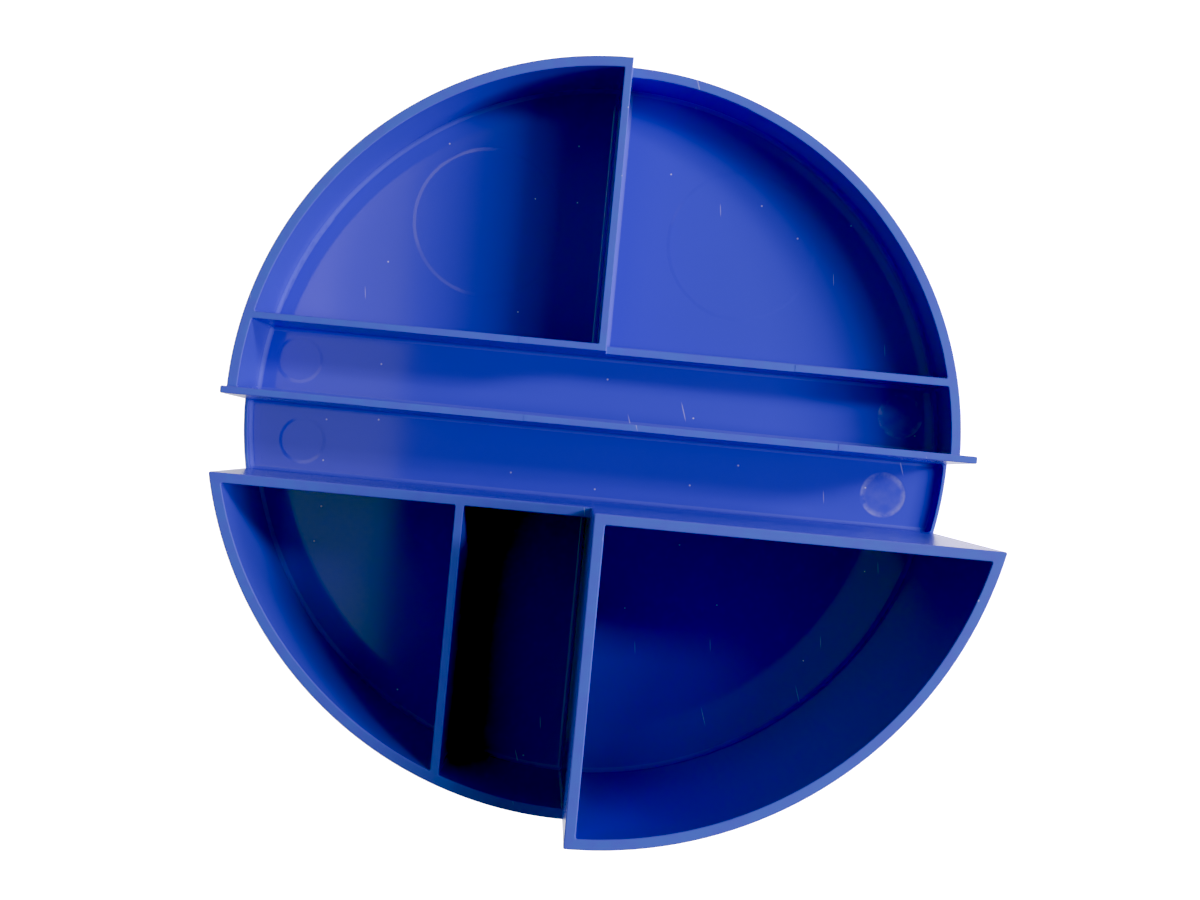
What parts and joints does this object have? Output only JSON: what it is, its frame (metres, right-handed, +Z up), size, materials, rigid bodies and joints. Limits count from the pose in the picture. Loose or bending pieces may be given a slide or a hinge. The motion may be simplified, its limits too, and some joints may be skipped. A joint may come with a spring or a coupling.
{
  "type": "desk organiser",
  "caption": "Round one-piece plastic desk organiser with stepped rims: shallow trays, long slots and deep bins.",
  "frame": {"origin": "centre of the flat round base, on the surface that it stands on", "axes": "+Z up; +Y from the deep bins towards the shallow trays; +X towards the tallest bin, along the long slots"},
  "size_m": [0.1942, 0.1946, 0.08],
  "materials": {
    "blue_plastic": "smooth glossy moulded plastic, opaque ultramarine blue"
  },
  "bodies": {
    "root": {"slot_wall": "blue_plastic", "tray_wall_left": "blue_plastic", "tray_wall_right": "blue_plastic", "bin_wall_left": "blue_plastic", "bin_wall_middle": "blue_plastic", "bin_wall_right": "blue_plastic", "tray_divider": "blue_plastic", "bin_divider": "blue_plastic", "tall_bin_divider": "blue_plastic", "left_tray_floor": "blue_plastic", "left_tray_outer_wall": "blue_plastic", "right_tray_floor": "blue_plastic", "right_tray_outer_wall": "blue_plastic", "closed_slot_floor": "blue_plastic", "closed_slot_left_end": "blue_plastic", "closed_slot_right_end": "blue_plastic", "open_slot_floor": "blue_plastic", "open_slot_left_end": "blue_plastic", "open_slot_right_end": "blue_plastic", "left_bin_floor": "blue_plastic", "left_bin_outer_wall": "blue_plastic", "middle_bin_floor": "blue_plastic", "middle_bin_outer_wall": "blue_plastic", "tall_bin_floor": "blue_plastic", "tall_bin_outer_wall": "blue_plastic"}
  },
  "joints": []
}
